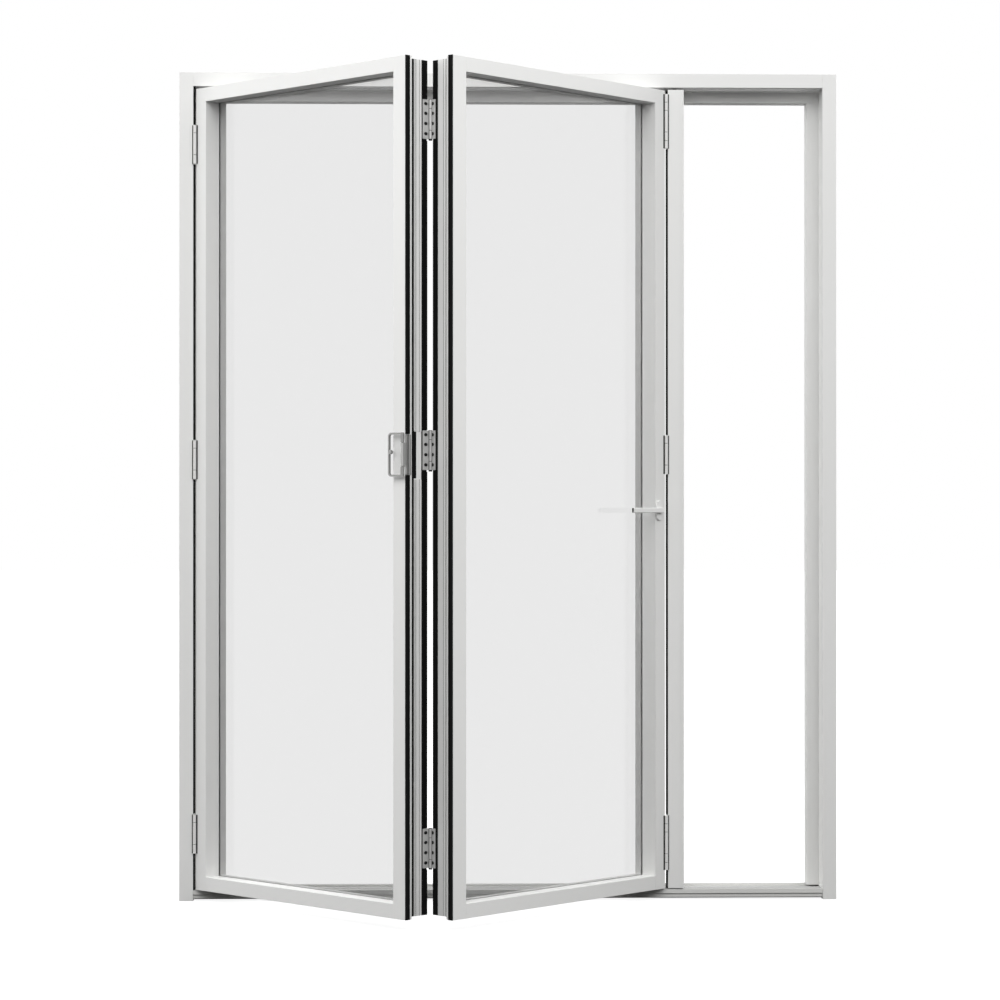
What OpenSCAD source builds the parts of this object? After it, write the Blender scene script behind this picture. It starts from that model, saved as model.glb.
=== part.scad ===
// Bifold glass patio door, open: two glazed panels fold out of a white frame as a V, and a narrow
// travelling post carries their far edge along the head. Millimetres, X to the right, Y inwards
// from the outside, Z up. The origin is the middle of the sill's base.

/* [Frame] */
// Overall width of the frame
frame_w = 1669; // [1500:1:2000]
// Overall height of the frame
frame_h = 2100; // [1900:1:2500]
// Depth of the frame from front to back
frame_d = 120; // [110:1:160]
// Width of a jamb's front face
jamb_face = 35; // [30:0.5:60]
// Height of the head's front face
head_face = 35; // [32:0.5:60]
// Depth of the rebate that takes the closed panels
rebate_d = 76; // [72:1:90]
// How far a jamb's stop stands into the opening, behind the rebate
jamb_stop = 31; // [15:1:45]
// How far the head's stop stands into the opening
head_stop = 27.5; // [15:1:45]
// Distance of the jambs' groove from the front
jamb_groove_y = 42; // [10:1:60]
// Width and depth of that groove
jamb_groove = 3; // [1:0.5:6]

/* [Sill] */
// Height of the sill
sill_h = 27; // [22:1:40]
// Thickness of the sill's nose
nose_t = 11; // [9:0.5:14]
// How far the sill's base lies behind the frame's front
nose_over = 38; // [20:1:60]
// How far the nose lies behind the frame's front
nose_set = 2; // [1:0.5:6]
// Depth of the sill's flat front track plate
track_plate_d = 48; // [45:1:60]
// Width of the upstand along the sill's back
rim_w = 18; // [10:1:30]
// Drop of the drain channel between plate and upstand
drain_drop = 5; // [2:0.5:9]

/* [Tracks] */
// Outside width of the head track
track_w = 32; // [28:1:40]
// Outside height of the head track
track_h = 26; // [22:1:30]
// Wall of the head track
track_wall = 2; // [1.5:0.5:3]
// Width of the slot in the head track
track_slot = 14; // [13:0.5:18]
// Outside width of the sill's guide channel
guide_w = 16; // [14:0.5:20]
// Height of the guide channel
guide_h = 8; // [6:0.5:9]
// Wall of the guide channel
guide_wall = 2; // [1:0.5:3]

/* [Panels] */
// Angle that each panel is folded out from the closed position
fold_deg = 45.4; // [20:0.1:60]
// Thickness of a panel
panel_t = 70; // [64:1:72]
// Height of the rails' face
rail_face = 35; // [32:1:70]
// Face width of the stile at a panel's outer hinges
hinge_stile_w = 37.5; // [36:0.5:70]
// Width of the meeting stiles' bodies
meet_stile_w = 41; // [38:0.5:70]
// How far the meeting line lies from the pins' line, towards the left panel
meet_shift = 2.2; // [0:0.2:4]
// How far the left panel's outer flange falls short of its body
left_flange_back = 0.8; // [0:0.2:3]
// How far the right panel's outer flange passes its body
right_flange_over = 3.4; // [0:0.2:4]
// Gap between a panel's edge and the jamb or the post when closed
edge_gap = 5.2; // [4:0.2:8]
// Gap between the two meeting stiles' bodies when closed
meet_gap = 12.6; // [10:0.2:16]
// Gap between the head and the panels
top_gap = 8; // [4:0.2:14]
// Gap between the sill and the panels
bottom_gap = 2.5; // [2:0.5:8]
// Thickness of the flange along a panel's outer face
lip_t = 22; // [18:0.5:24]
// How much shorter the body is than the flange at each end
body_step = 6.5; // [4:0.5:18]
// Width of the groove between flange and body in the stiles' edges
edge_groove_w = 6.5; // [4:0.5:8]
// Depth of that groove
edge_groove_d = 10; // [4:0.5:14]
// Height of the lock slot in the left meeting stile
lock_slot_h = 112; // [80:1:140]
// Width of the lock slot
lock_slot_w = 14; // [8:0.5:16]

/* [Glazing] */
// Thickness of the glass
glass_t = 6; // [4:0.5:10]
// Depth of the glazing rebate behind the reveal
glaze_d = 14; // [10:0.5:16]
// Distance of the glazing bead from the panel's outer face
bead_y = 27.5; // [25:0.5:30]
// Thickness of the glazing bead
bead_t = 13.5; // [8:0.5:14]
// Thickness of the glazing gasket
gasket_t = 4; // [2:0.5:5]
// How far bead and gasket lie back from the reveal
bead_inset = 0.8; // [0.4:0.1:2]
// Gap between the glass's edge and the bottom of its rebate
glass_clear = 3; // [2:0.5:5]

/* [Edge seals] */
// Width of the outer seal along the flange's edge
outer_seal_w = 13.5; // [8:0.5:16]
// How far the outer seal stands out
outer_seal_out = 3; // [1:0.5:3.5]
// Width of the inner seal along the body's edge
inner_seal_w = 17.5; // [12:0.5:18]
// Depth of the inner seal's seat
seal_seat_d = 3; // [1.5:0.5:4]
// How far the left panel's inner seal stands out of its seat
left_seal_out = 2.5; // [0.5:0.5:3]
// How far the right panel's inner seal stands out of its seat
right_seal_out = 0.3; // [0.1:0.1:2]

/* [Travelling post] */
// Face width of the post
post_w = 40.5; // [34:0.5:60]
// Gap between the head and the post
post_top_gap = 5.5; // [4:0.5:14]
// Radius of the carrier's stem
stem_r = 5; // [4:0.5:6]
// Radius of the carrier's wheels
wheel_r = 8; // [6:0.5:9]
// Length of the carrier
carrier_l = 70; // [50:1:100]

/* [Hinges] */
// Radius of the outer hinges' barrels
barrel_r = 6; // [5:0.1:7]
// How far the outer hinges' pins lie in front of the faces
pin_out = 5; // [4:0.5:7]
// How far the meeting hinges' pins lie behind the panels' inner faces
pin_in = 4; // [2:0.5:6]
// Height of a standard hinge
hinge_h = 98; // [80:1:120]
// Height of a long hinge at the top and the bottom of the post
long_hinge_h = 138; // [120:1:160]
// Thickness of a hinge leaf
leaf_t = 2.4; // [2:0.1:2.5]
// Width of a hinge leaf
leaf_w = 28; // [20:1:36]
// Width of a meeting hinge's leaf on the stile's edge
meet_leaf_w = 14.5; // [12:0.5:17]
// Thickness of a meeting hinge's leaf
meet_leaf_t = 3; // [2:0.1:4]
// Radius of the meeting hinges' barrels
meet_barrel_r = 5; // [4:0.1:6]
// Distance of the outer jamb hinges' middles from the panel's ends
jamb_hinge_in = 141; // [100:1:300]
// Height of the middle jamb hinge above the floor
jamb_hinge_mid = 1117.5; // [800:0.5:1300]
// Distance of the lowest meeting hinge's middle from the panels' bottom
meet_hinge_low = 162; // [100:1:300]
// Distance of the highest meeting hinge's middle from the panels' top
meet_hinge_high = 146.5; // [100:0.5:300]
// Height of the middle meeting hinge above the floor
meet_hinge_mid = 1129.5; // [800:0.5:1300]
// Distance of the lowest post hinge's middle from the panel's bottom
post_hinge_low = 116; // [80:1:300]
// Distance of the highest post hinge's middle from the panel's top
post_hinge_high = 78.5; // [74:0.5:300]
// Height of the middle post hinge above the floor
post_hinge_mid = 1130.5; // [800:0.5:1300]

/* [Pull handle] */
// Height of the D-shaped pull
pull_h = 103; // [80:1:140]
// Height of the pull's middle above the floor
pull_z = 1120; // [900:1:1300]
// Reach of the pull from its pin
pull_reach = 46; // [36:1:70]
// Thickness of the pull's bar along the panel's face
pull_bar = 4.5; // [3:0.5:6]
// Depth of the pull's bar away from the panel's face
pull_bar_d = 5; // [4:0.5:6]
// Radius of the pull's barrel
pull_barrel_r = 4.2; // [4:0.1:5]
// Gap between the pull and the panel's face
pull_clear = 6.8; // [5:0.1:10]
// Height of the barrel's fixed middle knuckle
pull_knuckle_h = 55.5; // [30:1:70]
// Gap between the barrel's knuckles
knuckle_gap = 0.5; // [0.3:0.1:1]
// Radius of the pull's pin
pull_pin_r = 2; // [1.5:0.1:2.5]
// Thickness of the pull's leaf on the stile's edge
pull_leaf_t = 2.5; // [2:0.1:3]
// Width of the pull's leaf
pull_leaf_w = 18; // [14:0.5:21]
// Radius of the stop button on the pull's bar
button_r = 5; // [3:0.5:6]
// Height of the button above the pull's middle
button_up = 6; // [-30:1:30]

/* [Lever handle] */
// Height of the lever's spindle above the floor
lever_z = 989.5; // [850:1:1150]
// Distance of the lever's spindle from the stile's glass side
lever_in = 12.5; // [12:0.5:20]
// Length of the lever from its spindle
lever_l = 111; // [90:1:150]
// Length of the lever's bar behind its spindle
lever_back = 5; // [3:0.5:10]
// Bevel on the lever's edges
lever_bevel = 1.5; // [0.5:0.5:3]
// Height of the lever's bar
lever_h = 13; // [10:0.5:18]
// Thickness of the lever's bar
lever_t = 7; // [5:0.5:10]
// Gap between the lever's bar and the stile's face
lever_clear = 6; // [5:0.5:12]
// Width of the oval rose
rose_w = 24.5; // [20:0.5:25]
// Height of the oval rose
rose_h = 50; // [40:1:70]
// Thickness of the rose
rose_t = 4.5; // [3:0.5:5]
// Radius of the lever's spindle
spindle_r = 5; // [4:0.5:6]

/* [Fits] */
// Radial clearance of a pin in its bore
pin_clear = 0.05; // [0.03:0.01:0.1]
// Clearance of a hinge barrel in its notch
notch_clear = 0.5; // [0.3:0.1:1]
// Length of the notch past a barrel's lower end
notch_below = 8; // [2:1:12]
// Clearance of a guide in its channel
guide_clear = 0.3; // [0.2:0.1:1]

/* [Hidden] */
$fn = 48;
eps = 0.5;
WHITE = [0.93, 0.93, 0.92];
BLACK = [0.04, 0.04, 0.04];
SATIN = [0.62, 0.62, 0.62];
GLASS = [0.80, 0.83, 0.83, 0.35];

front_y = -(frame_d + nose_over) / 2;
jamb_x = frame_w / 2 - jamb_face;
soffit_z = frame_h - head_face;
track_y = front_y + panel_t / 2;

panel_z0 = sill_h + bottom_gap;
panel_z1 = soffit_z - top_gap;
panel_h = panel_z1 - panel_z0;
body_h = panel_h - 2 * body_step;
body_y = lip_t + edge_groove_w;
// The outer pins lie in the middle of the edge gaps, so the closed panels and the post fill the frame
pin_span = (2 * jamb_x - post_w - 2 * edge_gap) / 2;
pin_depth = pin_out + panel_t + pin_in;
pin_y = front_y - pin_out;
jamb_pin_x = -jamb_x + edge_gap / 2;
post_pin_x = jamb_pin_x + 2 * (pin_span * cos(fold_deg) + pin_depth * sin(fold_deg));
post_x = post_pin_x + edge_gap / 2;

glass_y = bead_y + bead_t + gasket_t;
glaze_back = glass_y + glass_t;
reveal_x0 = edge_gap / 2 + hinge_stile_w;
reveal_z0 = panel_z0 + rail_face;
reveal_z1 = panel_z1 - rail_face;
inner_seal_y = panel_t - inner_seal_w;
notch_r = barrel_r + notch_clear;
pull_axis_y = -pull_clear - pull_bar_d / 2;
pull_end_h = (pull_h - pull_knuckle_h) / 2 - knuckle_gap;

// The two panels' sides of the meeting line
LEFT = -1;
RIGHT = 1;
function edge_x(side) = pin_span - meet_gap / 2 + side * meet_shift;
function flange_over(side) = side == LEFT ? -left_flange_back : right_flange_over;
function glass_x1(side) = edge_x(side) - meet_stile_w;
left_flange_x = edge_x(LEFT) - left_flange_back;

jamb_hinge_z = [panel_z0 + jamb_hinge_in, jamb_hinge_mid, panel_z1 - jamb_hinge_in];
meet_hinge_z = [panel_z0 + meet_hinge_low, meet_hinge_mid, panel_z1 - meet_hinge_high];
post_hinge_z = [panel_z0 + post_hinge_low, post_hinge_mid, panel_z1 - post_hinge_high];

// A length along X whose outline is drawn with depth across and height up
module along_x(x0, length) {
    translate([x0, 0, 0]) rotate([90, 0, 90]) linear_extrude(length) children();
}

// Panels: x runs from the outer pin to the meeting edge, y from the outer face inwards
module in_left_panel() {
    translate([jamb_pin_x, pin_y, 0]) rotate([0, 0, -fold_deg]) translate([0, pin_out, 0]) children();
}

module in_right_panel() {
    translate([post_pin_x, pin_y, 0]) mirror([1, 0, 0]) rotate([0, 0, -fold_deg])
        translate([0, pin_out, 0]) children();
}

// Frame

module head() {
    color(WHITE) difference() {
        along_x(-jamb_x, 2 * jamb_x) translate([front_y, 0]) polygon([
            [0, soffit_z], [rebate_d, soffit_z], [rebate_d, soffit_z - head_stop],
            [frame_d, soffit_z - head_stop], [frame_d, frame_h], [0, frame_h]]);
        translate([-jamb_x - eps, track_y - track_w / 2, soffit_z - eps])
            cube([2 * jamb_x + 2 * eps, track_w, track_h + eps]);
    }
}

module head_track() {
    color(SATIN) along_x(-jamb_x, 2 * jamb_x) translate([track_y, soffit_z]) difference() {
        translate([-track_w / 2, 0]) square([track_w, track_h]);
        translate([-track_w / 2 + track_wall, track_wall])
            square([track_w - 2 * track_wall, track_h - 2 * track_wall]);
        translate([-track_slot / 2, -eps]) square([track_slot, track_wall + 2 * eps]);
    }
}

// Right-hand jamb, from its face at x = 0 outwards
module jamb() {
    difference() {
        union() {
            translate([0, front_y, 0]) cube([jamb_face, frame_d, frame_h]);
            translate([-jamb_stop, front_y + rebate_d, sill_h])
                cube([jamb_stop, frame_d - rebate_d, soffit_z - head_stop - sill_h]);
        }
        translate([-eps, front_y + jamb_groove_y, sill_h])
            cube([jamb_groove + eps, jamb_groove, soffit_z - sill_h]);
    }
}

module right_jamb() {
    color(WHITE) translate([jamb_x, 0, 0]) jamb();
}

module left_jamb() {
    color(WHITE) difference() {
        translate([-jamb_x, 0, 0]) mirror([1, 0, 0]) jamb();
        translate([jamb_pin_x, pin_y, 0]) barrel_notches(jamb_hinge_z, [hinge_h, hinge_h, hinge_h]);
    }
}

module sill() {
    color(WHITE) difference() {
        along_x(-jamb_x, 2 * jamb_x) translate([front_y, 0]) polygon([
            [nose_over, 0], [frame_d, 0], [frame_d, sill_h], [frame_d - rim_w, sill_h],
            [frame_d - rim_w, sill_h - drain_drop], [track_plate_d, sill_h - drain_drop],
            [track_plate_d, sill_h], [nose_set, sill_h], [nose_set, sill_h - nose_t],
            [nose_over, sill_h - nose_t]]);
        translate([-jamb_x - eps, track_y - guide_w / 2, sill_h - guide_h])
            cube([2 * jamb_x + 2 * eps, guide_w, guide_h + eps]);
    }
}

module sill_guide() {
    color(SATIN) along_x(-jamb_x, 2 * jamb_x) translate([track_y, sill_h - guide_h]) difference() {
        translate([-guide_w / 2, 0]) square([guide_w, guide_h]);
        translate([-guide_w / 2 + guide_wall, guide_wall]) square([guide_w - 2 * guide_wall, guide_h]);
    }
}

// Panels

// Stile: x runs from the body's edge towards the glass, and the flange passes the edge by over
module stile(width, over) {
    difference() {
        union() {
            translate([-over, 0, panel_z0]) cube([width + over, lip_t, panel_h]);
            translate([edge_groove_d, lip_t, panel_z0 + body_step])
                cube([width - edge_groove_d, edge_groove_w, body_h]);
            translate([0, body_y, panel_z0 + body_step]) cube([width, panel_t - body_y, body_h]);
        }
        translate([width - glaze_d, bead_y, reveal_z0 - glaze_d])
            cube([glaze_d + eps, glaze_back - bead_y, reveal_z1 - reveal_z0 + 2 * glaze_d]);
    }
}

module hinge_stile(zs, heights) {
    color(WHITE) difference() {
        translate([edge_gap / 2, 0, 0]) stile(hinge_stile_w, 0);
        translate([0, -pin_out, 0]) barrel_notches(zs, heights);
    }
}

module meeting_stile(side) {
    color(WHITE) difference() {
        translate([edge_x(side), 0, 0]) mirror([1, 0, 0]) stile(meet_stile_w, flange_over(side));
        translate([edge_x(side) - seal_seat_d, inner_seal_y, panel_z0])
            cube([seal_seat_d + eps, inner_seal_w + eps, panel_h]);
    }
}

module left_meeting_stile() {
    in_left_panel() difference() {
        meeting_stile(LEFT);
        color(WHITE) translate([edge_x(LEFT) - edge_groove_d, lip_t, pull_z - lock_slot_h / 2])
            cube([edge_groove_d + eps, lock_slot_w, lock_slot_h]);
    }
}

module top_rail(side) {
    color(WHITE) along_x(reveal_x0, glass_x1(side) - reveal_x0) translate([0, reveal_z1])
        rail_outline();
}

module bottom_rail(side) {
    color(WHITE) along_x(reveal_x0, glass_x1(side) - reveal_x0)
        translate([0, reveal_z0]) mirror([0, 1]) rail_outline();
}

module rail_outline() {
    polygon([[0, 0], [bead_y, 0], [bead_y, glaze_d], [glaze_back, glaze_d], [glaze_back, 0],
        [panel_t, 0], [panel_t, rail_face - body_step], [lip_t, rail_face - body_step],
        [lip_t, rail_face], [0, rail_face]]);
}

module glass(side) {
    grow = glaze_d - glass_clear;
    color(GLASS) translate([reveal_x0 - grow, glass_y, reveal_z0 - grow])
        cube([glass_x1(side) - reveal_x0 + 2 * grow, glass_t, reveal_z1 - reveal_z0 + 2 * grow]);
}

// Rectangular ring around the glass, from depth y0, that reaches into the glazing rebate
module glazing_ring(side, y0, depth, reach) {
    width = glass_x1(side) - reveal_x0;
    height = reveal_z1 - reveal_z0;
    difference() {
        translate([reveal_x0 - reach, y0, reveal_z0 - reach])
            cube([width + 2 * reach, depth, height + 2 * reach]);
        translate([reveal_x0 - bead_inset, y0 - eps, reveal_z0 - bead_inset])
            cube([width + 2 * bead_inset, depth + 2 * eps, height + 2 * bead_inset]);
    }
}

module glazing_bead(side) {
    color(WHITE) glazing_ring(side, bead_y, bead_t, glaze_d);
}

module glazing_gasket(side) {
    color(BLACK) glazing_ring(side, bead_y + bead_t, gasket_t, glaze_d - glass_clear);
}

module outer_seal(side) {
    color(BLACK) translate([edge_x(side) + flange_over(side), 0, panel_z0])
        cube([outer_seal_out, outer_seal_w, panel_h]);
}

module left_outer_seal() {
    in_left_panel() difference() {
        outer_seal(LEFT);
        translate([left_flange_x - eps, -eps, pull_z - pull_h / 2])
            cube([outer_seal_out + 2 * eps, outer_seal_w + 2 * eps, pull_h]);
    }
}

module inner_seal(side, out) {
    color(BLACK) difference() {
        translate([edge_x(side) - seal_seat_d, inner_seal_y, panel_z0 + body_step])
            cube([seal_seat_d + out, inner_seal_w, body_h]);
        for (z = meet_hinge_z)
            translate([edge_x(side), panel_t - meet_leaf_w, z - hinge_h / 2])
                cube([out + eps, meet_leaf_w + eps, hinge_h]);
    }
}

// Hinges

module barrel_notches(zs, heights) {
    for (i = [0 : len(zs) - 1])
        translate([0, 0, zs[i] - heights[i] / 2 - notch_below])
            cylinder(r = notch_r, h = heights[i] + notch_below);
}

// Barrel with a fine line at each knuckle's end
module barrel(r, height, shares) {
    difference() {
        cylinder(r = r, h = height, center = true);
        for (s = shares) translate([0, 0, (s - 0.5) * height]) difference() {
            cylinder(r = r + eps, h = knuckle_gap, center = true);
            cylinder(r = r - knuckle_gap, h = knuckle_gap + eps, center = true);
        }
    }
}

THREE_KNUCKLES = [0.22, 0.77];
FIVE_KNUCKLES = [0.14, 0.3, 0.7, 0.85];

// Outer hinge on its pin: one leaf square to the frame, the other along the folded panel's edge
module outer_hinge(height, shares) {
    color(SATIN) union() {
        barrel(barrel_r, height, shares);
        translate([-edge_gap / 2, 0, -height / 2]) cube([leaf_t, leaf_w, height]);
        rotate([0, 0, -fold_deg]) translate([edge_gap / 2 - leaf_t, 0, -height / 2])
            cube([leaf_t, leaf_w, height]);
    }
}

module jamb_hinge(z) {
    translate([jamb_pin_x, pin_y, z]) outer_hinge(hinge_h, THREE_KNUCKLES);
}

module post_hinge(z, height, shares) {
    translate([post_pin_x, pin_y, z]) mirror([1, 0, 0]) outer_hinge(height, shares);
}

module meeting_leaf(side) {
    translate([edge_x(side), panel_t - meet_leaf_w, -hinge_h / 2])
        cube([meet_leaf_t, meet_leaf_w + pin_in, hinge_h]);
    translate([edge_x(side), panel_t, -hinge_h / 2])
        cube([pin_span - edge_x(side), pin_in, hinge_h]);
}

module meeting_hinge(z) {
    color(SATIN) translate([0, 0, z]) union() {
        in_left_panel() translate([pin_span, panel_t + pin_in, 0])
            barrel(meet_barrel_r, hinge_h, THREE_KNUCKLES);
        in_left_panel() meeting_leaf(LEFT);
        in_right_panel() meeting_leaf(RIGHT);
    }
}

// Travelling post

module travelling_post() {
    color(WHITE) difference() {
        translate([post_x, front_y, panel_z0])
            cube([post_w, panel_t, soffit_z - post_top_gap - panel_z0]);
        translate([post_pin_x, pin_y, 0])
            barrel_notches(post_hinge_z, [long_hinge_h, hinge_h, long_hinge_h]);
    }
}

module top_carrier() {
    floor_z = soffit_z + track_wall;
    post_top = soffit_z - post_top_gap;
    block_w = track_slot - 2 * guide_clear;
    wheel_w = (track_w - 2 * track_wall - block_w) / 2 - guide_clear;
    color(SATIN) translate([post_x + post_w / 2, track_y, 0]) union() {
        translate([-carrier_l / 2, -block_w / 2, floor_z]) cube([carrier_l, block_w, 2 * wheel_r]);
        for (x = [-1, 1]) translate([x * (carrier_l / 2 - wheel_r), 0, floor_z + wheel_r])
            rotate([90, 0, 0]) cylinder(r = wheel_r, h = block_w + 2 * wheel_w, center = true);
        translate([0, 0, post_top]) cylinder(r = stem_r, h = floor_z - post_top + eps);
    }
}

module bottom_guide() {
    foot = guide_h - guide_wall - guide_clear;
    shoe_w = guide_w - 2 * guide_wall - 2 * guide_clear;
    color(SATIN) translate([post_x + post_w / 2, track_y, 0]) union() {
        translate([-carrier_l / 4, -shoe_w / 2, sill_h - foot]) cube([carrier_l / 2, shoe_w, foot]);
        translate([0, 0, sill_h - eps]) cylinder(r = stem_r, h = bottom_gap + eps);
    }
}

// Pull handle: its leaf is on the left panel's edge, and its barrel stands in front of the corner

module pull_hinge() {
    color(SATIN) in_left_panel() translate([left_flange_x, 0, pull_z]) union() {
        translate([0, 0, -pull_h / 2 + pull_bar])
            cube([pull_leaf_t, pull_leaf_w, pull_h - 2 * pull_bar]);
        translate([0, pull_axis_y, -pull_knuckle_h / 2])
            cube([pull_leaf_t, pull_leaf_w - pull_axis_y, pull_knuckle_h]);
        translate([0, pull_axis_y, 0]) cylinder(r = pull_barrel_r, h = pull_knuckle_h, center = true);
        translate([0, pull_axis_y, 0]) cylinder(r = pull_pin_r, h = pull_h, center = true);
    }
}

module pull_handle() {
    color(SATIN) in_left_panel() translate([left_flange_x, pull_axis_y, pull_z]) difference() {
        union() {
            for (side = [-1, 1]) scale([1, 1, side])
                translate([0, 0, pull_h / 2 - pull_end_h]) cylinder(r = pull_barrel_r, h = pull_end_h);
            rotate([90, 0, 0]) linear_extrude(pull_bar_d, center = true) difference() {
                translate([-pull_reach, -pull_h / 2]) rounded_end(pull_reach, pull_h, 2 * pull_bar);
                translate([-pull_reach + pull_bar, -pull_h / 2 + pull_bar])
                    rounded_end(pull_reach, pull_h - 2 * pull_bar, pull_bar);
            }
            translate([-pull_reach + pull_bar / 2 + button_r, 0, button_up]) rotate([90, 0, 0])
                cylinder(r = button_r, h = pull_bar_d, center = true);
        }
        cylinder(r = pull_pin_r + pin_clear, h = pull_h + 2 * eps, center = true);
    }
}

// Rectangle whose two left corners are round
module rounded_end(width, height, r) {
    union() {
        translate([r, 0]) square([width - r, height]);
        translate([0, r]) square([r, height - 2 * r]);
        translate([r, r]) circle(r = r);
        translate([r, height - r]) circle(r = r);
    }
}

// Lever handle on the right panel's hinge stile

module on_lever_axis() {
    in_right_panel() translate([reveal_x0 - lever_in, 0, lever_z]) rotate([90, 0, 0])
        children();
}

module lever_rose() {
    color(WHITE) on_lever_axis() difference() {
        linear_extrude(rose_t) union() {
            translate([-rose_w / 2, -(rose_h - rose_w) / 2]) square([rose_w, rose_h - rose_w]);
            for (s = [-1, 1]) translate([0, s * (rose_h - rose_w) / 2]) circle(r = rose_w / 2);
        }
        translate([0, 0, -eps]) cylinder(r = spindle_r + pin_clear, h = rose_t + 2 * eps);
    }
}

module lever_handle() {
    color(WHITE) on_lever_axis() union() {
        cylinder(r = spindle_r, h = lever_clear + eps);
        rotate([90, 0, 90]) translate([0, lever_clear, -lever_back]) linear_extrude(lever_back + lever_l)
            polygon([[-lever_h / 2, 0], [lever_h / 2, 0], [lever_h / 2, lever_t - lever_bevel],
                [lever_h / 2 - lever_bevel, lever_t], [lever_bevel - lever_h / 2, lever_t],
                [-lever_h / 2, lever_t - lever_bevel]]);
    }
}

head();
left_jamb();
right_jamb();
sill();
head_track();
sill_guide();
in_left_panel() hinge_stile(jamb_hinge_z, [hinge_h, hinge_h, hinge_h]);  // left_hinge_stile
left_meeting_stile();
in_left_panel() top_rail(LEFT);  // left_top_rail
in_left_panel() bottom_rail(LEFT);  // left_bottom_rail
in_left_panel() glass(LEFT);  // left_glass
in_left_panel() glazing_bead(LEFT);  // left_glazing_bead
in_left_panel() glazing_gasket(LEFT);  // left_glazing_gasket
left_outer_seal();
in_left_panel() inner_seal(LEFT, left_seal_out);  // left_inner_seal
in_right_panel() hinge_stile(post_hinge_z, [long_hinge_h, hinge_h, long_hinge_h]);  // right_hinge_stile
in_right_panel() meeting_stile(RIGHT);  // right_meeting_stile
in_right_panel() top_rail(RIGHT);  // right_top_rail
in_right_panel() bottom_rail(RIGHT);  // right_bottom_rail
in_right_panel() glass(RIGHT);  // right_glass
in_right_panel() glazing_bead(RIGHT);  // right_glazing_bead
in_right_panel() glazing_gasket(RIGHT);  // right_glazing_gasket
in_right_panel() outer_seal(RIGHT);  // right_outer_seal
in_right_panel() inner_seal(RIGHT, right_seal_out);  // right_inner_seal
travelling_post();
top_carrier();
bottom_guide();
jamb_hinge(jamb_hinge_z[0]);  // jamb_hinge_bottom
jamb_hinge(jamb_hinge_z[1]);  // jamb_hinge_middle
jamb_hinge(jamb_hinge_z[2]);  // jamb_hinge_top
meeting_hinge(meet_hinge_z[0]);  // meeting_hinge_bottom
meeting_hinge(meet_hinge_z[1]);  // meeting_hinge_middle
meeting_hinge(meet_hinge_z[2]);  // meeting_hinge_top
post_hinge(post_hinge_z[0], long_hinge_h, FIVE_KNUCKLES);  // post_hinge_bottom
post_hinge(post_hinge_z[1], hinge_h, THREE_KNUCKLES);  // post_hinge_middle
post_hinge(post_hinge_z[2], long_hinge_h, FIVE_KNUCKLES);  // post_hinge_top
pull_hinge();
pull_handle();
lever_rose();
lever_handle();
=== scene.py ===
import math
import bmesh
import bpy
from mathutils import Matrix, Vector


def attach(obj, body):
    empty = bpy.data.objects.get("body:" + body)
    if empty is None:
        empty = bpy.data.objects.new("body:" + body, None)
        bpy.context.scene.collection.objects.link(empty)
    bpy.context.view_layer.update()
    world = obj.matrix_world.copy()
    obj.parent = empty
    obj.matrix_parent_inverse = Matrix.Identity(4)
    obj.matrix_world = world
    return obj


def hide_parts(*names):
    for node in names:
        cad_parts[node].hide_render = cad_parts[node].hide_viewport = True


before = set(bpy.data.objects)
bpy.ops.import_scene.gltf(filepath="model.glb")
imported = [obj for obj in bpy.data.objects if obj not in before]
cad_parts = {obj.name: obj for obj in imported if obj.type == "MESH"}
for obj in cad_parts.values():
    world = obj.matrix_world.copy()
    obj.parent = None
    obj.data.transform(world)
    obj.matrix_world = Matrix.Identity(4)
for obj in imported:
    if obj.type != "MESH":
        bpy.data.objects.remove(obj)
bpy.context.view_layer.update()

# Sizes of the door, in metres, as in the CAD source
FRONT = -0.079  # outer face of the frame and the post
JAMB_X = 0.7995  # half the width between the jambs
SOFFIT = 2.065
SILL_TOP = 0.027
FOLD = math.radians(45.4)  # turn of each panel out of the frame's plane
PANEL = 0.070  # thickness of a panel
PANEL_BOTTOM = 0.0295
PANEL_TOP = 2.057
BODY_LOW = PANEL_BOTTOM + 0.0065  # the body ends short of the outer flange
BODY_HIGH = PANEL_TOP - 0.0065
PIN_SPAN = 0.77405  # from the pins at the jamb or the post to the meeting pins
PIN_OUT = 0.005  # pins at the jamb and the post, in front of the panel
PIN_IN = 0.004  # meeting pins, behind the panel
PIN_Y = FRONT - PIN_OUT
JAMB_PIN_X = -0.7969
POST_PIN_X = 0.4026033
POST_X = 0.4052033  # left side of the post
EDGE_GAP = 0.0052  # between a panel and the jamb or the post
LEAF_IN = EDGE_GAP / 2 - 0.0024  # inner face of a hinge leaf, from the pin's axis
LEAF_D = 0.028  # depth of a hinge leaf
LEFT_EDGE = 0.76555  # meeting edge of each panel's body, from its outer pins
RIGHT_EDGE = 0.76995
LEFT_FLANGE = LEFT_EDGE - 0.0008  # meeting edge of each panel's outer flange
RIGHT_FLANGE = RIGHT_EDGE + 0.0034
GAP_SEAL_T = 0.0040
OUTER_SEAL_W = 0.0135
INNER_SEAL_Y = 0.0525
SEAL_IN = 0.003  # depth of the inner seal in the edge
LIP_Y = 0.0443  # where the bead's lip ends and the gasket begins
HINGE_H = 0.098
LONG_HINGE_H = 0.138
BARREL_R = 0.0042
BARREL_SHIFT = 0.0018  # barrel's axis, from the pin's axis towards the panel
MEET_BARREL_R = 0.005
MEET_PIN_R = 0.0043
MEET_LEAF_W = 0.0145
MEET_LEAF_T = 0.003
SCREW_R = 0.0040
SCREW_ROWS = (-0.033, -0.0090, 0.0150, 0.0380)  # from the middle of a meeting hinge
SHADE_PAD_OUT = 0.0007  # by which the black pads that paint shade beside a hinge's barrel stand out
SHADE_PAD_IN = 0.0002
POST_HEIGHTS = (LONG_HINGE_H, HINGE_H, LONG_HINGE_H)
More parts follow.
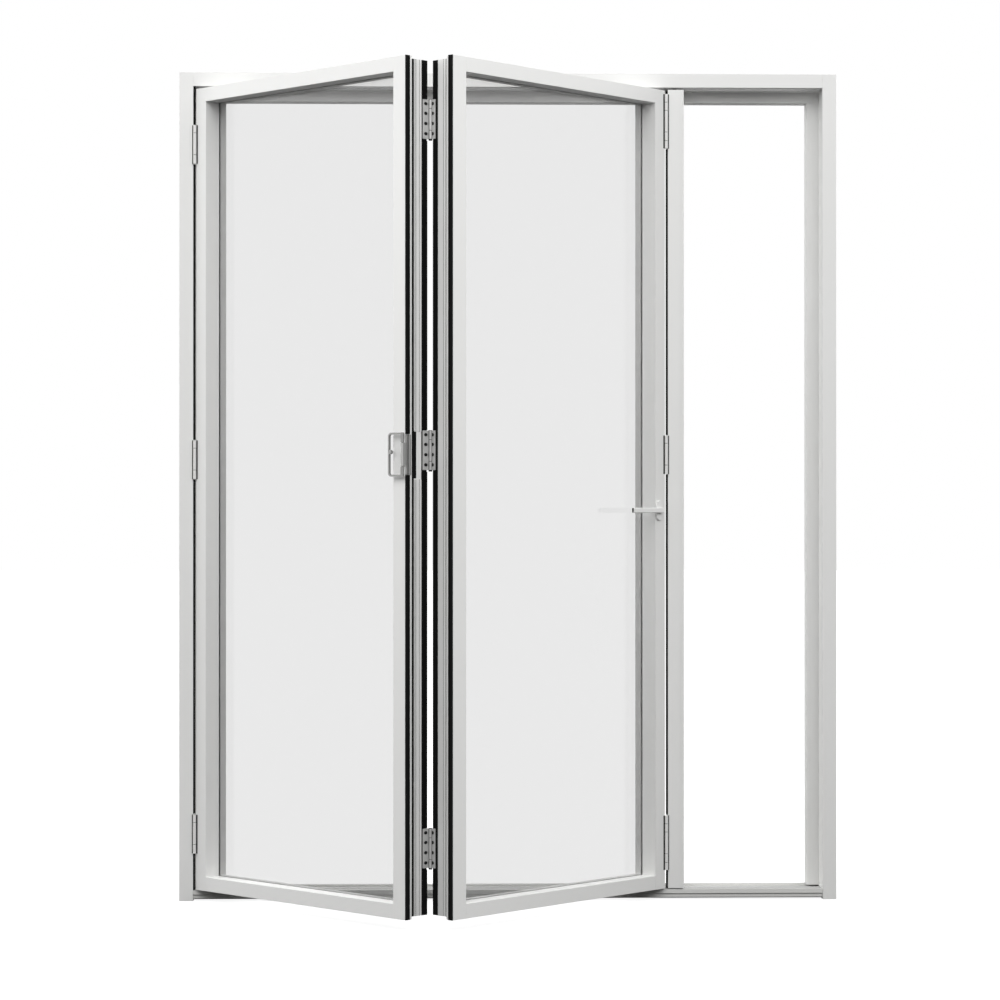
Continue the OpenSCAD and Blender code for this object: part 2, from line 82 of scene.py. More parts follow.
JAMB_HINGES = (0.1705, 1.1175, 1.916)  # middles of the hinges
MEET_HINGES = (0.1915, 1.1295, 1.9105)
POST_HINGES = (0.1455, 1.1305, 1.9785)
PULL_Z = 1.120
PULL_H = 0.103
PULL_AXIS_Y = -0.0093
PULL_LEAF_T = 0.0025
PULL_PLATE_HALF = 0.047  # half the height of the leaf's plate, cheek and the black strip that paints shade in its groove
PULL_CHEEK_HALF = 0.02765
PULL_GROOVE_SHADE_HALF = 0.0465
PULL_PIN_R = 0.0019
LEVER_Z = 0.9895
LEVER_END = 0.1386
PLACES = ("bottom", "middle", "top")

# Where the knuckles of a barrel part, as shares of its height
THREE = (0.22, 0.77)
THREE_WIDE = (0.235, 0.80)
FIVE = (0.14, 0.30, 0.70, 0.85)

# Frames of the two panels: x from the outer pins to the meeting edge, y from the outer face
# inwards
LEFT_PANEL = (Matrix.Translation((JAMB_PIN_X, PIN_Y, 0)) @ Matrix.Rotation(-FOLD, 4, "Z")
              @ Matrix.Translation((0, PIN_OUT, 0)))
RIGHT_PANEL = (Matrix.Translation((POST_PIN_X, PIN_Y, 0)) @ Matrix.Scale(-1, 4, (1, 0, 0))
               @ Matrix.Rotation(-FOLD, 4, "Z") @ Matrix.Translation((0, PIN_OUT, 0)))
DOOR = Matrix.Identity(4)


def colour(code):
    """sRGB hex to linear RGBA"""
    out = []
    for i in (1, 3, 5):
        c = int(code[i:i + 2], 16) / 255
        out.append(c / 12.92 if c <= 0.04045 else ((c + 0.055) / 1.055) ** 2.4)
    return (*out, 1.0)


# Materials

def add(tree, kind, settings=None, links=None):
    """Adds a node with its settings, and links its inputs to other nodes' outputs"""
    made = tree.nodes.new(kind)
    for key, value in (settings or {}).items():
        if key in made.inputs:
            made.inputs[key].default_value = value
        else:
            setattr(made, key, value)
    for key, source in (links or {}).items():
        tree.links.new(source, made.inputs[key])
    return made


def material(name, settings):
    made = bpy.data.materials.new(name)
    made.use_nodes = True
    tree = made.node_tree
    shader = tree.nodes["Principled BSDF"]
    for key, value in settings.items():
        shader.inputs[key].default_value = value
    place = add(tree, "ShaderNodeTexCoord").outputs["Object"]
    return made, tree, shader, place


def two_tones(tree, shader, share, first, second):
    """Colours the surface between two tones by a share from 0 to 1"""
    tone = add(tree, "ShaderNodeMix", {"data_type": "RGBA"}, {"Factor": share})
    tone.inputs["A"].default_value = colour(first)
    tone.inputs["B"].default_value = colour(second)
    tree.links.new(tone.outputs["Result"], shader.inputs["Base Color"])


def relief(tree, shader, height, strength, distance):
    """Bumps up to a distance in metres"""
    bump = add(tree, "ShaderNodeBump", {"Strength": strength, "Distance": distance},
               {"Height": height})
    tree.links.new(bump.outputs["Normal"], shader.inputs["Normal"])


def uneven_gloss(tree, shader, share, smooth, rough):
    """Roughness between two values by a share from 0 to 1"""
    span = add(tree, "ShaderNodeMapRange", {"To Min": smooth, "To Max": rough},
               {"Value": share})
    tree.links.new(span.outputs["Result"], shader.inputs["Roughness"])


def powder_coat(name, base, shade, gloss=0.12):
    # Polyester powder coat, sprayed and baked: satin, with the fine orange peel of the melted
    # powder, about 1.5 mm from crest to crest, and very slight differences in tone
    made, tree, shader, place = material(name, {"IOR": 1.5, "Specular IOR Level": gloss})
    cloud = add(tree, "ShaderNodeTexNoise", {"Scale": 2.2, "Detail": 3.0}, {"Vector": place})
    two_tones(tree, shader, cloud.outputs["Fac"], base, shade)
    peel = add(tree, "ShaderNodeTexNoise", {"Scale": 650.0, "Detail": 2.0}, {"Vector": place})
    uneven_gloss(tree, shader, peel.outputs["Fac"], 0.46, 0.60)
    relief(tree, shader, peel.outputs["Fac"], 0.18, 0.0002)
    return made


def epdm():
    # Extruded EPDM rubber: near black and matt, with a faint bloom and fine die lines
    made, tree, shader, place = material("epdm_rubber", {"Roughness": 0.75, "IOR": 1.52,
                                                         "Specular IOR Level": 0.12})
    bloom = add(tree, "ShaderNodeTexNoise", {"Scale": 40.0, "Detail": 4.0}, {"Vector": place})
    two_tones(tree, shader, bloom.outputs["Fac"], "#040404", "#0A0A0A")
    skin = add(tree, "ShaderNodeTexNoise", {"Scale": 900.0, "Detail": 3.0}, {"Vector": place})
    relief(tree, shader, skin.outputs["Fac"], 0.25, 0.0002)
    return made


def brushed(name, base, roughness, stretch, metallic=1.0):
    # Metal ground with a belt: fine lines along Z, about 0.5 mm apart so that they show at all
    made, tree, shader, place = material(name, {"Metallic": metallic, "Roughness": roughness,
                                                "Base Color": colour(base)})
    along = add(tree, "ShaderNodeMapping", {"Scale": stretch}, {"Vector": place})
    lines = add(tree, "ShaderNodeTexNoise", {"Scale": 1.0, "Detail": 3.0},
                {"Vector": along.outputs["Vector"]})
    uneven_gloss(tree, shader, lines.outputs["Fac"], roughness - 0.08, roughness + 0.1)
    relief(tree, shader, lines.outputs["Fac"], 0.2, 0.0001)
    return made


def float_glass():
    # Clear double glazing: float glass with a soft coating, which takes a little light
    # and leaves a neutral grey cast
    made, tree, shader, place = material("float_glass", {
        "Base Color": colour("#E8E8E8"), "Roughness": 0.0, "IOR": 1.45,
        "Transmission Weight": 1.0})
    wave = add(tree, "ShaderNodeTexNoise", {"Scale": 3.0, "Detail": 1.0}, {"Vector": place})
    relief(tree, shader, wave.outputs["Fac"], 0.02, 0.0005)
    return made


def nylon():
    # Moulded glass-filled nylon: black, matt, with a fine spark-eroded grain
    made, tree, shader, place = material("moulded_nylon", {"Base Color": colour("#101010"),
                                                           "Roughness": 0.5, "IOR": 1.53})
    grain = add(tree, "ShaderNodeTexVoronoi", {"Scale": 1500.0}, {"Vector": place})
    relief(tree, shader, grain.outputs["Distance"], 0.2, 0.0001)
    return made


def blackened():
    # Blackened steel screws: dark, a little oily, with the grain of the phosphate coat
    made, tree, shader, place = material("blackened_steel", {
        "Base Color": colour("#0B0B0B"), "Metallic": 0.0, "Roughness": 0.55,
        "Specular IOR Level": 0.25})
    grain = add(tree, "ShaderNodeTexNoise", {"Scale": 1200.0, "Detail": 2.0}, {"Vector": place})
    relief(tree, shader, grain.outputs["Fac"], 0.2, 0.0001)
    return made


WHITE = powder_coat("white_powder_coat", "#EFEFEE", "#ECECEA")
WHITE_STEEL = powder_coat("white_coated_steel", "#E9E9E8", "#E4E4E2")
SILL_WHITE = powder_coat("dull_white_powder_coat", "#E2E2E0", "#DDDDDA", 0.05)
# A greyer coat for the sill's upper faces, darker than its front
TREAD = powder_coat("grey_sill_top_coat", "#BCBCBA", "#B4B4B2", 0.05)
RUBBER = epdm()
GRIND = (2000.0, 2000.0, 40.0)
SATIN = brushed("satin_stainless", "#9E9E9D", 0.5, GRIND)
PULL_BAR = brushed("satin_pull_bar", "#848483", 0.5, GRIND)
ZINC = brushed("zinc_plated_steel", "#CACAC9", 0.5, GRIND, 0.55)
ANODISED = brushed("anodised_aluminium", "#D2D2D2", 0.5, (2000.0, 2000.0, 30.0))
GLASS = float_glass()
NYLON = nylon()
SCREW = blackened()


# Modelling tools

ON_FACE = 1e-5  # a face whose middle lies so near to a plane is in it


def only(piece):
    bpy.ops.object.select_all(action="DESELECT")
    piece.select_set(True)
    bpy.context.view_layer.objects.active = piece


def block(name, low, high):
    """A bar between two corners, to be shaped further"""
    bpy.ops.object.select_all(action="DESELECT")
    middle = [(a + b) / 2 for a, b in zip(low, high)]
    bpy.ops.mesh.primitive_cube_add(size=1, location=middle)
    piece = bpy.context.object
    piece.name = piece.data.name = name
    piece.scale = [b - a for a, b in zip(low, high)]
    bpy.ops.object.transform_apply(location=True, rotation=True, scale=True)
    return piece


def rod(name, middle, radius, height, axis="Z", sides=40):
    """A round bar, to be shaped further"""
    turn = {"Z": (0, 0, 0), "X": (0, math.pi / 2, 0)}[axis]
    bpy.ops.object.select_all(action="DESELECT")
    bpy.ops.mesh.primitive_cylinder_add(vertices=sides, radius=radius, depth=height,
                                        location=middle, rotation=turn)
    piece = bpy.context.object
    piece.name = piece.data.name = name
    bpy.ops.object.transform_apply(location=True, rotation=True, scale=True)
    return piece


def select_faces(piece, test):
    """In edit mode, selects the faces whose centre and normal pass the test"""
    bpy.ops.mesh.select_all(action="DESELECT")
    bpy.ops.mesh.select_mode(type="FACE")
    mesh = bmesh.from_edit_mesh(piece.data)
    for face in mesh.faces:
        if test(face.calc_center_median(), face.normal):
            face.select_set(True)
    bmesh.update_edit_mesh(piece.data)


def cut_across(piece, axis, places):
    """Adds lines right round the piece, square to an axis"""
    normal = [0, 0, 0]
    normal[axis] = 1
    for at in places:
        point = [0, 0, 0]
        point[axis] = at
        bpy.ops.mesh.select_all(action="SELECT")
        bpy.ops.mesh.bisect(plane_co=point, plane_no=normal)


def push(piece, test, step):
    """Extrudes the chosen faces by a step"""
    select_faces(piece, test)
    bpy.ops.mesh.extrude_region_move(TRANSFORM_OT_translate={"value": step})


def grooves(piece, axis, spans, face_axis, face_at, depth):
    """Grooves that run along the piece, sunk by depth into the face at face_at"""
    only(piece)
    bpy.ops.object.mode_set(mode="EDIT")
    cut_across(piece, axis, [x for span in spans for x in span])
    step = [0, 0, 0]
    step[face_axis] = depth
    for low, high in spans:
        push(piece, lambda c, n: abs(c[face_axis] - face_at) < ON_FACE
             and low < c[axis] < high and abs(n[face_axis]) > 0.9, step)
    bpy.ops.object.mode_set(mode="OBJECT")


def soften(piece, width, segments=2, angle=35):
    """Rounds the sharp edges, as a real edge is, and shades the piece"""
    only(piece)
    edge = piece.modifiers.new("edges", "BEVEL")
    edge.width = width
    edge.segments = segments
    edge.limit_method = "ANGLE"
    edge.angle_limit = math.radians(angle)
    bpy.ops.object.modifier_apply(modifier=edge.name)
    bpy.ops.object.shade_smooth_by_angle(angle=math.radians(40))


def finish(piece, finish_of, where=DOOR, body="door", node=None):
    """Puts the piece in its frame, with its finish, its body and the node that it stands for"""
    only(piece)
    piece.matrix_world = where
    bpy.ops.object.transform_apply(location=True, rotation=True, scale=True)
    if where.determinant() < 0:
        bpy.ops.object.mode_set(mode="EDIT")
        bpy.ops.mesh.select_all(action="SELECT")
        bpy.ops.mesh.normals_make_consistent(inside=False)
        bpy.ops.object.mode_set(mode="OBJECT")
    flat = piece.modifiers.new("flat_faces", "WEIGHTED_NORMAL")
    flat.weight = 100
    flat.keep_sharp = True
    bpy.ops.object.modifier_apply(modifier=flat.name)
    piece.data.materials.clear()
    piece.data.materials.append(finish_of)
    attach(piece, body)
    if node:
        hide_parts(node)
    return piece


def joined(name, pieces):
    """Joins pieces that are one part of the real door"""
    if len(pieces) == 1:
        pieces[0].name = pieces[0].data.name = name
        return pieces[0]
    bpy.ops.object.select_all(action="DESELECT")
    for piece in pieces:
        piece.select_set(True)
    bpy.context.view_layer.objects.active = pieces[0]
    bpy.ops.object.join()
    pieces[0].name = pieces[0].data.name = name
    return pieces[0]


def profile_of(node, name):
    """A copy of an extruded profile's solid, with its flat faces whole again"""
    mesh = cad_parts[node].data.copy()
    piece = bpy.data.objects.new(name, mesh)
    bpy.context.collection.objects.link(piece)
    only(piece)
    bpy.ops.object.mode_set(mode="EDIT")
    bpy.ops.mesh.select_all(action="SELECT")
    bpy.ops.mesh.remove_doubles(threshold=1e-6)
    bpy.ops.mesh.dissolve_limited(angle_limit=math.radians(1))
    bpy.ops.object.mode_set(mode="OBJECT")
    return piece


# Frame

for node, name in (("head", "head_profile"), ("left_jamb", "left_jamb_profile"),
                   ("right_jamb", "right_jamb_profile"), ("sill", "sill_profile")):
    bar = profile_of(node, name)
    soften(bar, 0.0006)
    finish(bar, SILL_WHITE if node == "sill" else WHITE, node=node)
    # The photograph shows the sill's upper faces greyer than its front
    if node == "sill":
        bar.data.materials.append(TREAD)
        for face in bar.data.polygons:
            face.material_index = int(face.normal.z > 0.7)

# Drip strip that hangs from the sill's nose
drip = block("sill_drip_strip", (-JAMB_X, FRONT + 0.0052, 0.0062),
             (JAMB_X, FRONT + 0.0080, 0.0160))
soften(drip, 0.0006)
finish(drip, SILL_WHITE)


def gap_seal(name, x0, low, high, hinges):
    """Rubber seal in the gap beside a panel: a grooved strip that runs between the hinges"""
    x1 = x0 + GAP_SEAL_T
    ends = [low]
    for middle, height in hinges:
        ends += [middle - height / 2 - 0.0005, middle + height / 2 + 0.002]
    ends.append(high)
    strips = []
    for z0, z1 in zip(ends[::2], ends[1::2]):
        strip = block(name, (x0, FRONT + 0.004, z0), (x1, FRONT + 0.020, z1))
        lines = [(FRONT + y, FRONT + y + 0.0016) for y in (0.0075, 0.0115, 0.0155)]
        grooves(strip, 1, lines, 0, x1, -0.0012)
        soften(strip, 0.0005)
        strips.append(strip)
    finish(joined(name, strips), RUBBER)


gap_seal("jamb_gap_seal", -JAMB_X, SILL_TOP + 0.001, SOFFIT, [(z, HINGE_H) for z in JAMB_HINGES])
gap_seal("post_gap_seal", POST_X - GAP_SEAL_T, PANEL_BOTTOM, PANEL_TOP,
         list(zip(POST_HINGES, POST_HEIGHTS)))

# Travelling post: its face has two fine shadow grooves
post = profile_of("travelling_post", "travelling_post_profile")
grooves(post, 0, [(POST_X + 0.0318, POST_X + 0.0328), (POST_X + 0.0374, POST_X + 0.0384)],
        1, FRONT, 0.0008)
soften(post, 0.0005)
finish(post, WHITE, node="travelling_post")

for node in ("head_track", "sill_guide"):
    bar = profile_of(node, node + "_channel")
    soften(bar, 0.0003)
    finish(bar, ANODISED, node=node)
for node in ("top_carrier", "bottom_guide"):
    bar = profile_of(node, node + "_moulding")
    soften(bar, 0.0006)
    finish(bar, NYLON, node=node)


# Panels

for side in ("left", "right"):
    for part in ("hinge_stile", "meeting_stile", "top_rail", "bottom_rail", "glazing_bead"):
        node = side + "_" + part
        bar = profile_of(node, node + "_profile")
        soften(bar, 0.0005)
        finish(bar, WHITE, node=node)
    where = LEFT_PANEL if side == "left" else RIGHT_PANEL
    inwards = where.to_3x3() @ Vector((0, 1, 0))
    for name, keep_inside, finish_of in (("_glazing_gasket_strip", True, RUBBER),
                                         ("_glazing_bead_lip", False, WHITE)):
        bar = profile_of(side + "_glazing_gasket", side + name)
        bpy.ops.object.mode_set(mode="EDIT")
        bpy.ops.mesh.select_all(action="SELECT")
        bpy.ops.mesh.bisect(plane_co=where @ Vector((0, LIP_Y, 0)), plane_no=inwards,
                            use_fill=True, clear_inner=keep_inside, clear_outer=not keep_inside)
        bpy.ops.object.mode_set(mode="OBJECT")
        soften(bar, 0.0003)
        finish(bar, finish_of, node=side + "_glazing_gasket" if keep_inside else None)
    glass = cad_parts[side + "_glass"]
    glass.data.materials.clear()
    glass.data.materials.append(GLASS)


def edge_strip(name, x0, x1, y0, y1, low, high, lines, width, sink):
    """A strip on a meeting edge with grooves along it, each of a width and sunk so deep"""
    strip = block(name, (x0, y0, low), (x1, y1, high))
    grooves(strip, 1, [(y, y + width) for y in lines], 0, x1, -sink)
    soften(strip, 0.0004)
    return strip


def left_over(spans, low, high):
    """The stretches between low and high that the spans leave"""
    out = []
    for a, b in sorted(spans):
        out.append((low, a))
        low = b
    return out + [(low, high)]


def outer_seal(side, where, flange):
    """Weather seal with three soft ribs along the flange's edge, cut out for the pull"""
    cut = [(PULL_Z - 0.048, PULL_Z + 0.048)] if side == "left" else []
    strips = [edge_strip("outer_seal", flange, flange + 0.0030, 0.0, OUTER_SEAL_W, a, b,
                         [0.0036, 0.0082], 0.0016, 0.0014)
              for a, b in left_over(cut, PANEL_BOTTOM, PANEL_TOP)]
    finish(joined(side + "_outer_weather_seal", strips), RUBBER, where,
           node=side + "_outer_seal")


def inner_seal(side, where, edge, out):
    """Weather seal that stands out from the body's edge, cut back behind the hinge leaves"""
    leaves = [(z - HINGE_H / 2, z + HINGE_H / 2) for z in MEET_HINGES]
    strips = [edge_strip("inner_seal", edge - SEAL_IN, edge + out, INNER_SEAL_Y, PANEL, a, b,
                         [0.0560, 0.0605, 0.0650], 0.0014, min(out, 0.0012) + 0.0006)
              for a, b in left_over(leaves, BODY_LOW, BODY_HIGH)]
    backs = [block("inner_seal", (edge - SEAL_IN, INNER_SEAL_Y, a), (edge - 0.0002, PANEL, b))
             for a, b in leaves]
    finish(joined(side + "_inner_weather_seal", strips + backs), RUBBER, where,
           node=side + "_inner_seal")


def edge_channel(side, where, edge, start, lines, cut):
    """White channel between the seals, with a black strip in each of its grooves that darkens it
    """
    strips, groove_strips = [], []
    for a, b in left_over(cut, BODY_LOW, BODY_HIGH):
        strips.append(edge_strip("edge_channel", edge - 0.0005, edge + 0.0012, start, 0.0520,
                                 a, b, lines, 0.0013, 0.0009))
        for y in lines:
            groove_strip = block("edge_groove_dark_strip", (edge, y + 0.0002, a), (edge + 0.0009, y + 0.0011, b))
            soften(groove_strip, 0.0001, 1)
            groove_strips.append(groove_strip)
    finish(joined(side + "_edge_channel", strips), WHITE_STEEL, where)
    finish(joined(side + "_edge_groove_dark_strip", groove_strips), RUBBER, where)


outer_seal("left", LEFT_PANEL, LEFT_FLANGE)
inner_seal("left", LEFT_PANEL, LEFT_EDGE, 0.0025)
edge_channel("left", LEFT_PANEL, LEFT_EDGE, 0.0292, (0.0302, 0.0334, 0.0446),
             [(PULL_Z - 0.058, PULL_Z + 0.054)])
outer_seal("right", RIGHT_PANEL, RIGHT_FLANGE)
inner_seal("right", RIGHT_PANEL, RIGHT_EDGE, 0.0003)
edge_channel("right", RIGHT_PANEL, RIGHT_EDGE, 0.0225, (0.0238, 0.0256, 0.0336), [])

# Black liner in the groove of the left panel's edge: painted shade of the groove, which faces
# away from the light. It is wider where the lock sits behind the pull
shade_liners = [edge_strip("edge_shade_liner_strip", LEFT_EDGE - 0.0098, LEFT_EDGE - 0.0001, 0.0221, y1, a, b,
                     lines, 0.0012, 0.0010)
          for y1, a, b, lines in ((0.0284, BODY_LOW, PULL_Z - 0.0561, [0.0246]),
                                  (0.0359, PULL_Z - 0.0559, PULL_Z + 0.0559, [0.0246, 0.0300]),
                                  (0.0284, PULL_Z + 0.0561, BODY_HIGH, [0.0246]))]
finish(joined("edge_groove_shade_liner", shade_liners), RUBBER, LEFT_PANEL)


# Hinges

def barrel_stack(name, x, y, middle, radius, height, shares, gap=0.0010):
    """Knuckles of a barrel, with a narrow gap between them"""
    marks = [0.0] + list(shares) + [1.0]
    low = middle - height / 2
    parts = []
    for a, b in zip(marks, marks[1:]):
        z0 = low + a * height + (gap / 2 if a > 0 else 0)
        z1 = low + b * height - (gap / 2 if b < 1 else 0)
        knuckle = rod(name, (x, y, (z0 + z1) / 2), radius, z1 - z0)
        soften(knuckle, 0.0006)
        parts.append(knuckle)
    return parts


def hinge_pin(name, x, y, middle, radius, height, where=DOOR):
    """The dark pin that shows in the gaps between the knuckles"""
    pin = rod(name, (x, y, middle), radius, height, sides=24)
    soften(pin, 0.0003)
    finish(pin, SCREW, where)


def countersunk_screw(name, at, radius, stretch=1.0):
    """Dark screw head sunk in the leaf along X, in a round or a lengthened hole"""
    head = rod(name, at, radius, 0.0012, axis="X", sides=28)
    only(head)
    bpy.ops.object.mode_set(mode="EDIT")
    bpy.ops.mesh.select_all(action="SELECT")
    bpy.ops.transform.resize(value=(1, stretch, 1), center_override=at)
    select_faces(head, lambda c, n: n.x > 0.9)
    bpy.ops.mesh.inset(thickness=radius * 0.22, depth=-0.0001)
    bpy.ops.mesh.inset(thickness=radius * 0.35, depth=-0.0002)
    bpy.ops.object.mode_set(mode="OBJECT")
    soften(head, 0.00015, 1)
    return head


def side_hinge(node, middle, height, pin_x, sign, panel):
    """Hinge at the jamb (sign 1) or the post (sign -1), with a leaf in the gap on each side"""
    low, high = middle - height / 2, middle + height / 2
    barrel_x = pin_x + sign * BARREL_SHIFT
    parts = barrel_stack(node, barrel_x, PIN_Y, middle, BARREL_R, height,
                         FIVE if height > HINGE_H else THREE_WIDE)
    hinge_pin(node + "_pin", barrel_x, PIN_Y, middle, BARREL_R * 0.75, height - 0.004)
    # Black pads under the barrel, one on the frame and one on the panel: painted shade that
    # darkens the barrel's two sides
    x0, x1 = sorted((pin_x - sign * 0.0026, pin_x - sign * 0.0052))
    for name, corner, far_corner, where in (
            ("_fixed_shade_pad", (x0, FRONT - SHADE_PAD_OUT, low), (x1, FRONT + SHADE_PAD_IN, high), DOOR),
            ("_swung_shade_pad", (0.0034, -SHADE_PAD_OUT, low), (0.0086, SHADE_PAD_IN, high), panel)):
        shadow_pad = block(node + name, corner, far_corner)
        soften(shadow_pad, 0.0002, 1)
        finish(shadow_pad, RUBBER, where)
    x0, x1 = sorted((pin_x - sign * EDGE_GAP / 2, pin_x - sign * LEAF_IN))
    fixed = block(node, (x0, PIN_Y, low), (x1, PIN_Y + LEAF_D, high))
    soften(fixed, 0.0008)
    swung = block(node, (LEAF_IN, -PIN_OUT, low), (EDGE_GAP / 2, LEAF_D - PIN_OUT, high))
    soften(swung, 0.0008)
    finish(swung, WHITE_STEEL, panel)
    finish(joined(node + "_knuckles", parts + [fixed, swung]), WHITE_STEEL, node=node)


def meeting_leaf(node, middle, side, where, edge, wide, screw_y, stretch):
    """Leaf on a meeting edge, with the wing that carries the barrel, and its four screws"""
    low, high = middle - HINGE_H / 2 + 0.0036, middle + HINGE_H / 2 - 0.0010
    leaf = block(node, (edge, PANEL - wide, low), (edge + MEET_LEAF_T, PANEL + PIN_IN, high))
    soften(leaf, 0.0007)
    wing = block(node, (edge, PANEL + 0.0002, low), (PIN_SPAN, PANEL + PIN_IN, high))
    soften(wing, 0.0007)
    screws = [countersunk_screw(node, (edge + 0.0029, screw_y, middle + z), SCREW_R, stretch)
              for z in SCREW_ROWS]
    screws = joined(node + "_" + side + "_screws", screws)
    finish(joined(node + "_" + side + "_leaf", [leaf, wing]), ZINC, where)
    finish(screws, SCREW, where)


for place, middle in zip(PLACES, JAMB_HINGES):
    side_hinge("jamb_hinge_" + place, middle, HINGE_H, JAMB_PIN_X, 1, LEFT_PANEL)
for place, middle, height in zip(PLACES, POST_HINGES, POST_HEIGHTS):
    side_hinge("post_hinge_" + place, middle, height, POST_PIN_X, -1, RIGHT_PANEL)

for place, middle in zip(PLACES, MEET_HINGES):
    node = "meeting_hinge_" + place
    parts = barrel_stack(node, PIN_SPAN, PANEL + PIN_IN, middle + 0.0012, MEET_BARREL_R,
                         HINGE_H - 0.0050, THREE)
    finish(joined(node + "_knuckles", parts), SATIN, LEFT_PANEL, node=node)
    hinge_pin(node + "_pin", PIN_SPAN, PANEL + PIN_IN, middle, MEET_PIN_R, HINGE_H - 0.0004,
              LEFT_PANEL)
    meeting_leaf(node, middle, "left", LEFT_PANEL, LEFT_EDGE, MEET_LEAF_W, 0.0640, 1.35)
    meeting_leaf(node, middle, "right", RIGHT_PANEL, RIGHT_EDGE, MEET_LEAF_W - 0.0045, 0.0675,
                 1.0)


# Pull on the left panel's meeting edge

pull_parts = barrel_stack("pull_leaf", LEFT_FLANGE, PULL_AXIS_Y, PULL_Z, 0.0042, 0.0545, ())
hinge_pin("pull_pin", LEFT_FLANGE, PULL_AXIS_Y, PULL_Z, PULL_PIN_R, PULL_H - 0.0002,
          LEFT_PANEL)
leaf_face = LEFT_FLANGE + PULL_LEAF_T
plate = block("pull_leaf", (LEFT_FLANGE, 0.0, PULL_Z - PULL_PLATE_HALF),
              (leaf_face, 0.018, PULL_Z + PULL_PLATE_HALF))
grooves(plate, 1, [(0.0062, 0.0095)], 0, leaf_face, -0.0018)
soften(plate, 0.0006)
cheek = block("pull_leaf", (LEFT_FLANGE, PULL_AXIS_Y, PULL_Z - PULL_CHEEK_HALF),
              (leaf_face, 0.004, PULL_Z + PULL_CHEEK_HALF))
soften(cheek, 0.0006)
finish(joined("pull_leaf", pull_parts + [plate, cheek]), SATIN, LEFT_PANEL, node="pull_hinge")
# Black strip in the leaf's groove: painted shade, so that the groove shows as a dark line
groove_shade = block("pull_leaf_groove_shade", (LEFT_FLANGE + 0.0003, 0.0064, PULL_Z - PULL_GROOVE_SHADE_HALF),
              (LEFT_FLANGE + 0.0016, 0.0093, PULL_Z + PULL_GROOVE_SHADE_HALF))
soften(groove_shade, 0.0003)
finish(groove_shade, RUBBER, LEFT_PANEL)

grip = profile_of("pull_handle", "pull_grip")
soften(grip, 0.0012, 3, 30)
finish(grip, PULL_BAR, body="pull", node="pull_handle")


# Lever on the right panel's hinge stile

rose = profile_of("lever_rose", "lever_rose_plate")
soften(rose, 0.0016, 3, 30)
finish(rose, WHITE, node="lever_rose")
lever = profile_of("lever_handle", "lever_grip")
soften(lever, 0.0010, 3, 30)
finish(lever, WHITE, body="lever", node="lever_handle")
# Black cap on the lever's end: painted shade on its end face
shade_cap = block("lever_end_shade_cap", (LEVER_END - 0.0010, -0.0121, LEVER_Z - 0.0056),
            (LEVER_END + 0.0001, -0.0069, LEVER_Z + 0.0056))
soften(shade_cap, 0.0002, 1)
finish(shade_cap, NYLON, RIGHT_PANEL, "lever")


# Floor, light and camera

def in_mirrors(tree, path):
    """1 for a ray that glass or metal sent on and that met nothing matt before"""
    mirror = add(tree, "ShaderNodeMath", {"operation": "MAXIMUM"})
    tree.links.new(path.outputs["Is Glossy Ray"], mirror.inputs[0])
    tree.links.new(path.outputs["Is Transmission Ray"], mirror.inputs[1])
    first = add(tree, "ShaderNodeMath", {"operation": "LESS_THAN"})
    tree.links.new(path.outputs["Diffuse Depth"], first.inputs[0])
    first.inputs[1].default_value = 0.5
    clear = add(tree, "ShaderNodeMath", {"operation": "MULTIPLY"})
    tree.links.new(mirror.outputs[0], clear.inputs[0])
    tree.links.new(first.outputs[0], clear.inputs[1])
    return clear.outputs[0]


def mixed(tree, factor, first, second):
    both = add(tree, "ShaderNodeMixShader", {}, {"Fac": factor})
    tree.links.new(first.outputs[0], both.inputs[1])
    tree.links.new(second.outputs[0], both.inputs[2])
    return both


# Plain pale floor: white where it is seen, dim where it lights the object, and it keeps
# the object's shadow
floor_finish = bpy.data.materials.new("studio_floor")
floor_finish.use_nodes = True
tree = floor_finish.node_tree
tree.nodes.clear()
path = add(tree, "ShaderNodeLightPath")
dim = add(tree, "ShaderNodeBsdfDiffuse", {"Color": colour("#4A4A4A")})
white = add(tree, "ShaderNodeEmission", {"Color": (1, 1, 1, 1), "Strength": 1.0})
pale = add(tree, "ShaderNodeBsdfDiffuse", {"Color": colour("#A0A0A0")})
glow = add(tree, "ShaderNodeEmission", {"Color": (1, 1, 1, 1), "Strength": 0.9})
lit = add(tree, "ShaderNodeAddShader")
tree.links.new(pale.outputs[0], lit.inputs[0])
tree.links.new(glow.outputs[0], lit.inputs[1])
unseen = mixed(tree, in_mirrors(tree, path), dim, white)
add(tree, "ShaderNodeOutputMaterial", {},
    {"Surface": mixed(tree, path.outputs["Is Camera Ray"], unseen, lit).outputs[0]})

bpy.ops.object.select_all(action="DESELECT")
bpy.ops.mesh.primitive_plane_add(size=80, location=(0, 0, -0.0005))
floor = bpy.context.object
floor.name = "studio_floor"
floor.data.materials.append(floor_finish)

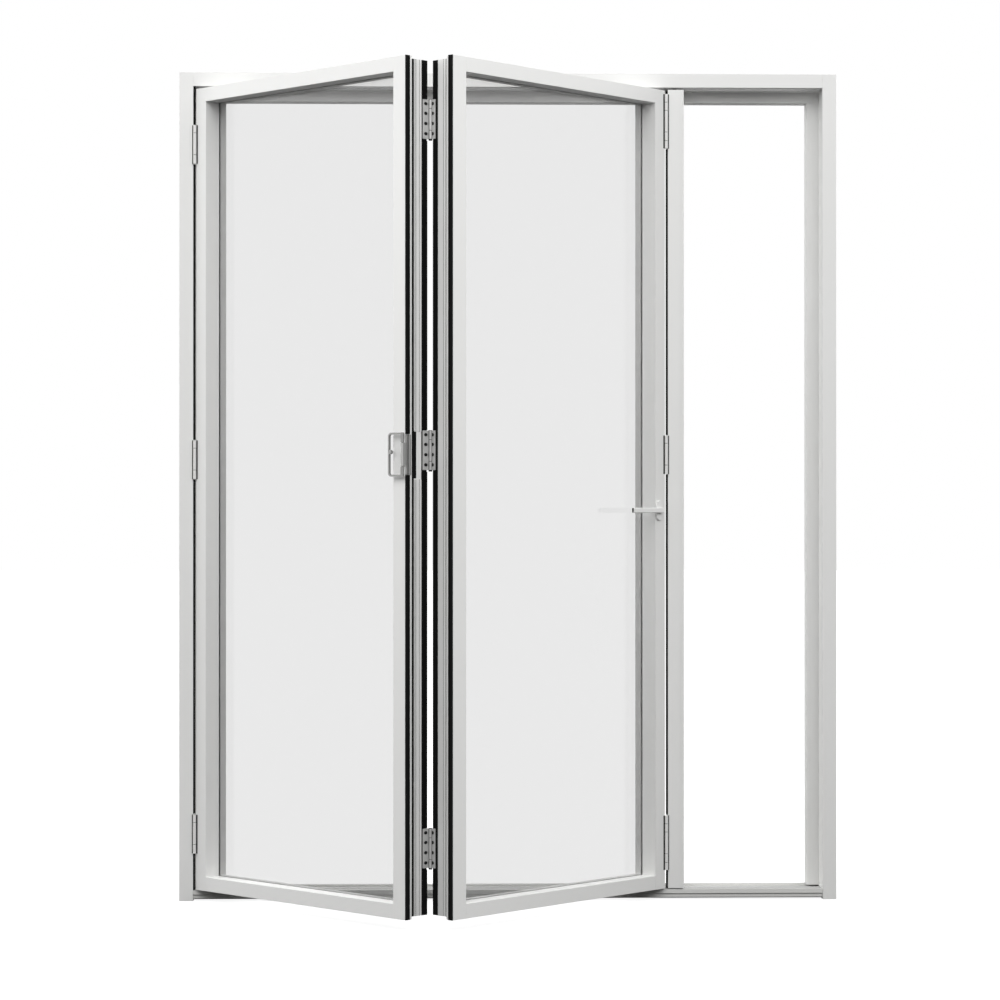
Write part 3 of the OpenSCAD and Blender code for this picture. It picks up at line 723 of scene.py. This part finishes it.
world = bpy.data.worlds.new("studio")
bpy.context.scene.world = world
world.use_nodes = True
tree = world.node_tree
tree.nodes.clear()
path = add(tree, "ShaderNodeLightPath")
seen = add(tree, "ShaderNodeMath", {"operation": "MAXIMUM"})
tree.links.new(path.outputs["Is Camera Ray"], seen.inputs[0])
tree.links.new(in_mirrors(tree, path), seen.inputs[1])
sky = add(tree, "ShaderNodeSeparateXYZ", {},
          {"Vector": add(tree, "ShaderNodeTexCoord").outputs["Generated"]})
overhead = add(tree, "ShaderNodeMapRange", {"interpolation_type": "SMOOTHSTEP", "From Min": 0.2,
                                            "From Max": 0.8, "To Min": 0.16, "To Max": 1.20},
               {"Value": sky.outputs["Z"]})
fill = add(tree, "ShaderNodeBackground", {"Color": (1, 1, 1, 1)},
           {"Strength": overhead.outputs["Result"]})
shown = add(tree, "ShaderNodeBackground", {"Color": (1, 1, 1, 1), "Strength": 1.0})
add(tree, "ShaderNodeOutputWorld", {},
    {"Surface": mixed(tree, seen.outputs[0], fill, shown).outputs[0]})


def softbox(name, at, aim, size, power):
    data = bpy.data.lights.new(name, "AREA")
    data.shape = "RECTANGLE"
    data.size, data.size_y = size
    data.energy = power
    lamp = bpy.data.objects.new(name, data)
    bpy.context.collection.objects.link(lamp)
    lamp.location = at
    lamp.rotation_euler = (Vector(aim) - Vector(at)).to_track_quat("-Z", "Y").to_euler()
    return lamp


softbox("key_softbox", (-1.0, -3.3, 3.3), (-0.2, 0.0, 1.4), (3.0, 2.4), 52)
softbox("fill_softbox", (2.6, -4.2, 3.6), (0.1, 0.0, 1.2), (3.0, 2.4), 84)
softbox("left_softbox", (-4.5, -1.5, 3.0), (0.0, 0.0, 1.2), (2.0, 2.0), 37)
softbox("left_back_softbox", (-4.8, 1.5, 2.8), (0.0, 0.0, 1.2), (2.0, 2.5), 110)
softbox("right_back_softbox", (4.8, 1.5, 2.8), (0.0, 0.0, 1.2), (2.0, 2.5), 95)

# Camera fitted to the corners of the door in the photograph
TILT, PAN = 0.2461, -1.2578
eye = bpy.data.cameras.new("camera")
eye.lens = 100.567
eye.sensor_width = 36.0
eye.clip_end = 100
camera = bpy.data.objects.new("camera", eye)
bpy.context.collection.objects.link(camera)
camera.location = (-0.17765, -7.17003, 0.98530)
camera.rotation_euler = (math.radians(90 + TILT), 0.0, math.radians(PAN))
bpy.context.scene.camera = camera

bpy.context.scene.view_settings.view_transform = "Standard"
